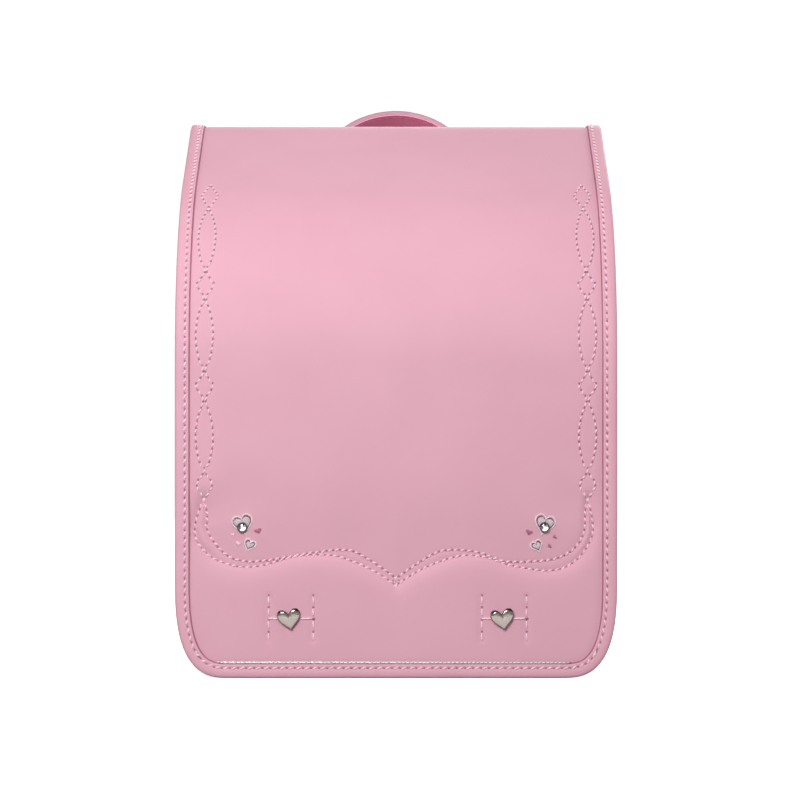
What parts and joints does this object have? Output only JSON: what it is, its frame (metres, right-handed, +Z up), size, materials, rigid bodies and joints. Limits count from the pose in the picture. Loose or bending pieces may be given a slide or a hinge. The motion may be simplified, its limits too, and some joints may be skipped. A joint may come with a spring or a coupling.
{
  "type": "school ransel",
  "caption": "Stiff leather school backpack with a bound flap down its whole front, heart rivets, crystal hearts, top handle and padded shoulder straps",
  "frame": {"origin": "on the floor under the middle of the whole object's width and depth", "axes": "+X to the viewer's right when facing the flap, +Y from the flap towards the wearer's back, +Z up"},
  "size_m": [0.27, 0.2784, 0.3677],
  "materials": {
    "pink_leather": "smooth satin grain",
    "rose_lining": "matt",
    "soft_leather": "soft matt grain",
    "nickel": "polished nickel",
    "reflective_silver": "silver grey cord",
    "cut_crystal": "clear, cut facets"
  },
  "bodies": {
    "root": {"flap": "pink_leather", "flap_binding": "pink_leather", "back_board": "pink_leather", "main_gusset": "pink_leather", "front_board": "pink_leather", "back_binding": "pink_leather", "front_binding": "pink_leather", "small_gusset": "pink_leather", "small_board": "pink_leather", "pocket_gusset": "pink_leather", "pocket_front": "pink_leather", "tongue": "pink_leather", "handle": "pink_leather", "strap_cover": "pink_leather", "strap_anchor_left": "pink_leather", "strap_anchor_right": "pink_leather", "lower_strap_left": "pink_leather", "lower_strap_right": "pink_leather", "shoulder_strap_left": "soft_leather", "shoulder_strap_right": "soft_leather", "back_pad_left": "soft_leather", "back_pad_right": "soft_leather", "back_pad_lower": "soft_leather", "handle_lining": "rose_lining", "heart_rivet_left": "nickel", "heart_rivet_right": "nickel", "tongue_plate": "nickel", "lock_base": "nickel", "lock_knob": "nickel", "crystal_setting_left": "nickel", "crystal_setting_right": "nickel", "handle_bracket_left": "nickel", "handle_bracket_right": "nickel", "handle_pin_left": "nickel", "handle_pin_right": "nickel", "buckle_left": "nickel", "buckle_right": "nickel", "strap_rivet_1": "nickel", "strap_rivet_2": "nickel", "strap_rivet_3": "nickel", "strap_rivet_4": "nickel", "anchor_rivet_left": "nickel", "anchor_rivet_right": "nickel", "reflective_piping": "reflective_silver", "crystal_left": "cut_crystal", "crystal_right": "cut_crystal"}
  },
  "joints": []
}
